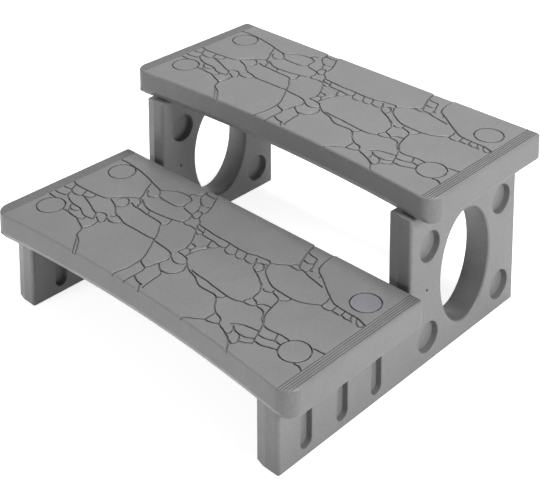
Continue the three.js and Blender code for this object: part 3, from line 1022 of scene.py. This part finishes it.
def panel_body():
    """A side panel's two faces and its edge, without tenons or screw holes."""
    hollows = [*dimples(), *slots(), needle_hole(), window()]
    footprint = panel_outline(0.0, 0.0, *FOOT_CORNERS)
    flat, triangles, _ = panel_sheet(footprint, hollows).mesh(within(footprint, [oval(-WINDOW_DRAFT)]))
    body = Body()
    plus = PANEL_HALF - panel_depth(flat, hollows, 0)
    minus = panel_depth(flat, hollows, 1) - PANEL_HALF
    at_parting = plus - minus < PARTING_GAP
    plus[at_parting] = minus[at_parting]
    first = body.vertices(np.column_stack([plus, flat]))[0]
    second = body.vertices(np.column_stack([minus, flat]))[0]
    body.faces.extend((a + first, b + first, c + first) for a, b, c in triangles.tolist())
    body.faces.extend((c + second, b + second, a + second) for a, b, c in triangles.tolist())
    for loop in border_loops(triangles):
        if at_parting[loop].all():
            continue
        rings = []
        for share in WALL_SHARES:
            rings.append(np.column_stack([plus[loop] * (1 - share) + minus[loop] * share, flat[loop]]))
        last = body.stack([i + first for i in loop], *rings)
        body.strip(last, [i + second for i in loop])
    return body


def cut_and_joined(name, mesh, added, cut, sharp_degrees):
    """The mesh with closed bodies joined on and cut out."""
    base = add_object(name, mesh)
    helpers = []
    for operation, bodies in (("UNION", added), ("DIFFERENCE", cut)):
        for body in bodies:
            helper = add_object("helper", make_mesh("helper", body, sharp_degrees=30))
            helpers.append(helper)
            modifier = base.modifiers.new("join", "BOOLEAN")
            modifier.operation = operation
            modifier.solver = "MANIFOLD"
            modifier.object = helper
    view = bpy.context.evaluated_depsgraph_get()
    result = bpy.data.meshes.new_from_object(base.evaluated_get(view))
    for thing in (base, *helpers):
        bpy.data.objects.remove(thing)
    smooth(result, sharp_degrees)
    return result


def panel_mesh(sharp_degrees=38):
    """A side panel with its tenons and screw holes."""
    tenons = []
    holes = []
    for level in LEVELS:
        middle, base = ROW_CENTRE[level], SHOULDER[level]
        top = base + TENON_HEIGHT
        tenon = growing_stadium((0, middle), TENON_HALF, TENON_RADIUS, steps=16)
        rings = [(0, base - TENON_ROOT), (0, top - TENON_CHAMFER), (-TENON_CHAMFER, top)]
        tenons.append(prism(tenon, rings))
        for row in (-0.5, 0.5):
            hole = growing_circle((0, middle + row * CAP_SPACING), SCREW_HOLE, steps=24)
            holes.append(prism(hole, [(0, base - PILOT_DEPTH), (0, top + OVERSHOOT)]))
    shell = make_mesh("panel", panel_body(), sharp_degrees)
    return cut_and_joined("panel", shell, tenons, holes, sharp_degrees)


# ---- Caps, screws and washers ----------------------------------------------


def cap_body():
    """A snap cap: soft-edged disc over a notched skirt with a snap bead. Its top is at z = 0."""
    foot = cap_low[2] - cap_high[2]
    inner = CAP_SKIRT - CAP_WALL
    rim = CAP_RADIUS - CAP_ROUND
    profile = [
        (0, 0),
        *[(CAP_RADIUS - inset, 0) for inset in CAP_FLAT_LINES],
        *[(rim + CAP_ROUND * math.sin(a), CAP_ROUND * (math.cos(a) - 1)) for a in QUARTER],
        (CAP_RADIUS, CAP_EDGE - CAP_PLATE),
        (CAP_RADIUS - CAP_EDGE, -CAP_PLATE),
        (CAP_SKIRT + CAP_EDGE, -CAP_PLATE),
        (CAP_SKIRT, -CAP_PLATE - CAP_EDGE),
        *[(CAP_SKIRT + out, z) for out, z in BEAD],
        (CAP_SKIRT, foot + CAP_EDGE),
        (CAP_SKIRT - CAP_EDGE, foot),
        (inner + CAP_EDGE, foot),
        (inner, foot + CAP_EDGE),
        (inner, -CAP_CEILING - CAP_EDGE),
        (inner - CAP_EDGE, -CAP_CEILING),
        (0, -CAP_CEILING),
    ]
    body = turned(profile, CAP_STEPS)
    root = -CAP_PLATE - NOTCH_ROOT
    for i, (x, y, z) in enumerate(body.points):
        turn = math.degrees(math.atan2(y, x)) % (360 / NOTCH_COUNT)
        if z < root and turn < NOTCH_DEGREES:
            body.points[i] = (x, y, root)
    return body


def hexagon(radius, z, steps):
    """A level hexagon, with its points spread evenly round the axis."""
    points = []
    for x, y in circle((0, 0), 1.0, steps):
        turn = (math.degrees(math.atan2(y, x)) % 60) - 30
        reach = radius * math.cos(math.radians(30)) / math.cos(math.radians(turn))
        points.append((x * reach, y * reach, z))
    return points


def screw_head(seat, top):
    """The head's (radius, z) points, from the rim of its flat top down to the shank."""
    rim = seat + HEAD_RIM
    dome = []
    for angle in np.radians((0, 20, 40, 60, 75, 90)):
        radius = HEAD_RADIUS * (HEAD_FLAT + (1 - HEAD_FLAT) * math.sin(angle))
        dome.append((radius, rim + (top - rim) * math.cos(angle)))
    underside = [
        (HEAD_RADIUS, seat + HEAD_EDGE),
        (HEAD_RADIUS - HEAD_EDGE, seat),
        (SHANK_RADIUS + SHANK_FILLET, seat),
        (SHANK_RADIUS, seat - HEAD_EDGE),
    ]
    return dome + underside


def thread_ring(z, cut, steps):
    """A ring of the shank, with the thread's groove cut by a share of its depth."""
    points = []
    for i, (x, y) in enumerate(circle((0, 0), 1.0, steps)):
        phase = (z / THREAD_PITCH + i / steps) % 1.0
        radius = SHANK_RADIUS - cut * THREAD_DEPTH * min(1.0, THREAD_SLOPE * abs(phase - 0.5))
        points.append((x * radius, y * radius, z))
    return points


def screw_body(steps=36):
    """A button-head screw with a hex socket and a coarse thread, z = 0 at the well's floor."""
    seat = SCREW_SEAT
    top = seat + HEAD_HEIGHT
    key_floor = top - KEY_DEPTH
    tip = screw_low[2] - washer_low[2] + WASHER_GAP
    body = Body()
    ring = body.vertices(hexagon(KEY_RADIUS * KEY_TAPER, key_floor, steps))
    body.cap(ring)
    for radius, z in (
        (KEY_RADIUS, key_floor + KEY_FILLET),
        (KEY_RADIUS, top - KEY_CHAMFER),
        (KEY_RADIUS + KEY_CHAMFER, top),
    ):
        ring = body.stack(ring, hexagon(radius, z, steps))
    for radius, z in screw_head(seat, top):
        ring = body.stack(ring, level_circle(radius, z, steps))
    for z in np.arange(seat - 2 * THREAD_STEP, tip + TAPER_LENGTH, -THREAD_STEP):
        ring = body.stack(ring, thread_ring(z, 1.0 if z < seat - PLAIN_SHANK else 0.0, steps))
    for radius, above_tip in SCREW_POINT:
        ring = body.stack(ring, level_circle(radius, tip + above_tip, steps))
    body.cap(ring)
    return body


def washer_body():
    """A flat washer with softened edges, z = 0 at its underside."""
    thick = washer_high[2] - washer_low[2]
    outer = (washer_high[0] - washer_low[0]) / 2
    hole = SCREW_HOLE + WASHER_PLAY
    edge = WASHER_EDGE
    lower = [(hole, edge), (hole + edge, 0), (outer - edge, 0), (outer, edge)]
    upper = [(outer, thick - edge), (outer - edge, thick), (hole + edge, thick), (hole, thick - edge)]
    return turned(lower + upper, steps=64)


# ---- Materials -------------------------------------------------------------

# Noise seldom leaves this range.
NOISE_RANGE = (0.3, 0.7)


class Finish:
    """A material, with its node graph built up call by call. Scales are in cycles per metre."""

    def __init__(self, name):
        self.material = bpy.data.materials.new(name)
        self.material.use_nodes = True
        self.nodes = self.material.node_tree.nodes
        self.link = self.material.node_tree.links.new
        self.shader = self.nodes["Principled BSDF"]
        self.place = self.nodes.new("ShaderNodeTexCoord").outputs["Object"]

    def noise(self, scale, detail):
        node = self.nodes.new("ShaderNodeTexNoise")
        node.inputs["Scale"].default_value = scale
        node.inputs["Detail"].default_value = detail
        self.link(self.place, node.inputs["Vector"])
        return node.outputs["Fac"]

    def edges(self):
        """How sharply the surface bends outwards; 0.5 where it is flat."""
        return self.nodes.new("ShaderNodeNewGeometry").outputs["Pointiness"]

    def openness(self, reach):
        """1 in the open, and less where other surfaces are within reach."""
        node = self.nodes.new("ShaderNodeAmbientOcclusion")
        node.samples = 4
        node.inputs["Distance"].default_value = reach
        return node.outputs["AO"]

    def remap(self, value, start, end, low, high):
        """The value's start to end range spread over low to high."""
        node = self.nodes.new("ShaderNodeMapRange")
        for key, number in (("From Min", start), ("From Max", end), ("To Min", low), ("To Max", high)):
            node.inputs[key].default_value = number
        self.link(value, node.inputs["Value"])
        return node.outputs["Result"]

    def times(self, first, *others):
        """The product of the values."""
        for other in others:
            node = self.nodes.new("ShaderNodeMath")
            node.operation = "MULTIPLY"
            self.link(first, node.inputs[0])
            self.link(other, node.inputs[1])
            first = node.outputs[0]
        return first

    def colour(self, colour, shade):
        """The base colour, lightened or darkened by a shade value."""
        tint = self.nodes.new("ShaderNodeVectorMath")
        tint.operation = "SCALE"
        tint.inputs[0].default_value = colour
        self.link(shade, tint.inputs["Scale"])
        self.link(tint.outputs[0], self.shader.inputs["Base Color"])

    def relief(self, height, strength, depth):
        """A fine bump of the given depth in millimetres."""
        bump = self.nodes.new("ShaderNodeBump")
        bump.inputs["Strength"].default_value = strength
        bump.inputs["Distance"].default_value = depth * MM
        self.link(height, bump.inputs["Height"])
        self.link(bump.outputs["Normal"], self.shader.inputs["Normal"])


def plastic(name, colour, grain_scale, grain_depth, roughness):
    """Moulded plastic: faint mottling, fine grain, paler edges (part wear, part painted highlight) and
    painted shade in grooves.
    """
    finish = Finish(name)
    clouds = finish.remap(finish.noise(9.0, 4.0), *NOISE_RANGE, 0.95, 1.05)
    mottle = finish.remap(finish.noise(160.0, 3.0), *NOISE_RANGE, 0.94, 1.06)
    speckle = finish.remap(finish.noise(grain_scale * 0.6, 2.0), *NOISE_RANGE, 0.97, 1.03)
    # Paler convex edges: partly wear, partly a painted highlight along edges and seam rims.
    wear_and_edge_highlight = finish.remap(finish.edges(), 0.53, 0.6, 1.0, 1.15)
    # Painted shade: the colour is darkened where other surfaces are within reach, in seams, wells and
    # corners.
    painted_groove_shade = finish.remap(finish.openness(3 * MM), 0.2, 0.9, 0.56, 1.0)
    finish.colour(colour, finish.times(clouds, mottle, speckle, wear_and_edge_highlight, painted_groove_shade))
    rubbed = finish.remap(finish.noise(22.0, 5.0), *NOISE_RANGE, roughness - 0.05, roughness + 0.07)
    finish.link(rubbed, finish.shader.inputs["Roughness"])
    finish.relief(finish.noise(grain_scale, 3.0), 0.5, grain_depth)
    return finish.material


def plated_steel(name, colour, roughness):
    """Zinc-plated steel with fine turning marks."""
    finish = Finish(name)
    finish.shader.inputs["Metallic"].default_value = 1.0
    marks = finish.noise(700.0, 2.0)
    finish.colour(colour, finish.remap(marks, 0.0, 1.0, 0.85, 1.1))
    blur = finish.remap(marks, 0.0, 1.0, roughness - 0.06, roughness + 0.08)
    finish.link(blur, finish.shader.inputs["Roughness"])
    finish.relief(marks, 0.3, 0.05)
    return finish.material


GREY = (0.174, 0.174, 0.175)
TREAD_PLASTIC = plastic("tread_plastic", GREY, grain_scale=900.0, grain_depth=0.12, roughness=0.4)
PANEL_PLASTIC = plastic(
    "panel_plastic", (0.178, 0.178, 0.18), grain_scale=600.0, grain_depth=0.08, roughness=0.38
)
CAP_PLASTIC = plastic("cap_plastic", GREY, grain_scale=1300.0, grain_depth=0.15, roughness=0.42)
COOL_CAP_PLASTIC = plastic(
    "cap_plastic_cool", (0.172, 0.172, 0.19), grain_scale=1300.0, grain_depth=0.15, roughness=0.42
)
SCREW_STEEL = plated_steel("screw_steel", (0.62, 0.63, 0.64), roughness=0.3)
WASHER_STEEL = plated_steel("washer_steel", (0.55, 0.56, 0.57), roughness=0.36)


# ---- Assembly --------------------------------------------------------------


def place_of(place):
    """Where a fastening sits: its own x and y, and the height of its tread's top."""
    level, side, row = place.split("_")
    x = CAP_COLUMN if side == "right" else -CAP_COLUMN
    y = ROW_CENTRE[level] + (0.5 if row == "rear" else -0.5) * CAP_SPACING
    return x, y, TOP[level]


def add_treads():
    mesh = make_mesh("tread", tread_body(), sharp_degrees=22)
    for level in LEVELS:
        at = (0, ROW_CENTRE[level], TOP[level])
        piece(f"{level}_tread", mesh, TREAD_PLASTIC, f"tread_{level}", "steps", at)


def add_side_panels():
    mesh = panel_mesh()
    for side in SIDES:
        at = (CAP_COLUMN if side == "right" else -CAP_COLUMN, 0, 0)
        name = f"{side}_side_panel"
        piece(name, mesh, PANEL_PLASTIC, f"side_panel_{side}", "steps", at)


def add_fastenings():
    """A cap, a screw and a washer at each of the eight places."""
    cap = make_mesh("cap", cap_body(), sharp_degrees=38)
    screw = make_mesh("screw", screw_body(), sharp_degrees=30)
    washer = make_mesh("washer", washer_body(), sharp_degrees=30)
    for place in PLACES:
        x, y, top = place_of(place)
        well_floor = top - WELL_DEPTH
        finish = COOL_CAP_PLASTIC if place == "lower_right_rear" else CAP_PLASTIC
        parts = (
            ("snap_cap", cap, finish, "cap", f"{place}_cap", "cap_plastic", top),
            ("fixing_screw", screw, SCREW_STEEL, "screw", "steps", "screw_steel", well_floor),
            ("flat_washer", washer, WASHER_STEEL, "washer", "steps", "washer_steel", well_floor + WASHER_GAP),
        )
        for part, mesh, material, node, body, slot, z in parts:
            piece(f"{place}_{part}", mesh, material, f"{node}_{place}", body, (x, y, z))


# ---- Stage -----------------------------------------------------------------
# Places are in metres.

LENS = 85.507
LENS_SHIFT = {"shift_x": -0.03796, "shift_y": -0.91}
CAMERA_PLACE = Vector((1.6163, -1.6404, 1.5215))
CAMERA_LOOK = Vector((-0.67372, 0.71543, -0.18509))
FLOOR_REACH = 12.0
FLOOR_GREY = (0.7, 0.7, 0.7, 1)
WHITE = (1, 1, 1, 1)


def stand(name, data, place, look):
    """A new object at a place, with its -Z axis turned to look along a direction."""
    thing = add_object(name, data)
    thing.location = place
    thing.rotation_mode = "QUATERNION"
    thing.rotation_quaternion = look.to_track_quat("-Z", "Y")
    return thing


def camera():
    """A camera with its lens shifted down at its own place, and with no shift anywhere else."""
    lens = bpy.data.cameras.new("camera")
    lens.lens = LENS
    thing = stand("camera", lens, CAMERA_PLACE, CAMERA_LOOK)
    for key, amount in LENS_SHIFT.items():
        driver = lens.driver_add(key).driver
        driver.type = "SCRIPTED"
        for axis in range(3):
            variable = driver.variables.new()
            variable.name = "xyz"[axis]
            variable.targets[0].id = thing
            variable.targets[0].data_path = f"location[{axis}]"
        away = " + ".join(f"abs({'xyz'[i]} - {CAMERA_PLACE[i]:.4f})" for i in range(3))
        driver.expression = f"{amount} if {away} < 0.001 else 0.0"
    bpy.context.scene.camera = thing


def soft_light(name, size, power, place, target=(0, 0, 0.15), spread=math.pi):
    """A rectangular light aimed at a target, which the camera doesn't see."""
    lamp = bpy.data.lights.new(name, "AREA")
    lamp.shape = "RECTANGLE"
    lamp.size, lamp.size_y = size
    lamp.energy = power
    lamp.spread = spread
    thing = stand(name, lamp, place, Vector(target) - Vector(place))
    thing.visible_camera = False


def glow(tree, strength, dim, bright):
    """Makes a strength dim as a light on the object, and bright to the camera and in reflections."""
    path = tree.nodes.new("ShaderNodeLightPath")
    either = tree.nodes.new("ShaderNodeMath")
    either.operation = "MAXIMUM"
    tree.links.new(path.outputs["Is Camera Ray"], either.inputs[0])
    tree.links.new(path.outputs["Is Glossy Ray"], either.inputs[1])
    remap = tree.nodes.new("ShaderNodeMapRange")
    remap.inputs["To Min"].default_value = dim
    remap.inputs["To Max"].default_value = bright
    tree.links.new(either.outputs[0], remap.inputs["Value"])
    tree.links.new(remap.outputs["Result"], strength)


def floor():
    """A plain pale floor."""
    mesh = bpy.data.meshes.new("floor")
    corners = [(x * FLOOR_REACH, y * FLOOR_REACH, 0) for x, y in ((-1, -1), (1, -1), (1, 1), (-1, 1))]
    mesh.from_pydata(corners, [], [(0, 1, 2, 3)])
    paper = bpy.data.materials.new("floor")
    paper.use_nodes = True
    shader = paper.node_tree.nodes["Principled BSDF"]
    shader.inputs["Base Color"].default_value = FLOOR_GREY
    shader.inputs["Roughness"].default_value = 0.9
    shader.inputs["Emission Color"].default_value = WHITE
    glow(paper.node_tree, shader.inputs["Emission Strength"], dim=0.1, bright=0.83)
    mesh.materials.append(paper)
    add_object("floor", mesh)


def world():
    """A plain white room."""
    sky = bpy.data.worlds.new("studio")
    sky.use_nodes = True
    background = sky.node_tree.nodes["Background"]
    background.inputs["Color"].default_value = WHITE
    glow(sky.node_tree, background.inputs["Strength"], dim=0.13, bright=0.95)
    bpy.context.scene.world = sky
    bpy.context.scene.view_settings.view_transform = "Standard"


def lights():
    """A key light from the right, one from above, a weak fill in front and a little bounce."""
    soft_light("key", size=(1.0, 1.0), power=84, place=(3.1, 0.15, 1.6))
    upwards = (-0.05, -0.45, 1.0)
    narrow = math.radians(50)
    soft_light("bounce", (0.74, 0.3), power=0.5, place=(-0.05, -0.45, 0.01), target=upwards, spread=narrow)
    soft_light("fill", size=(0.6, 0.6), power=18, place=(-0.8, -2.3, 0.6), target=(0, -0.35, 0.15))
    soft_light("overhead", size=(0.8, 0.8), power=57, place=(0.1, 0.5, 2.8))


add_treads()
add_side_panels()
add_fastenings()
camera()
floor()
world()
lights()
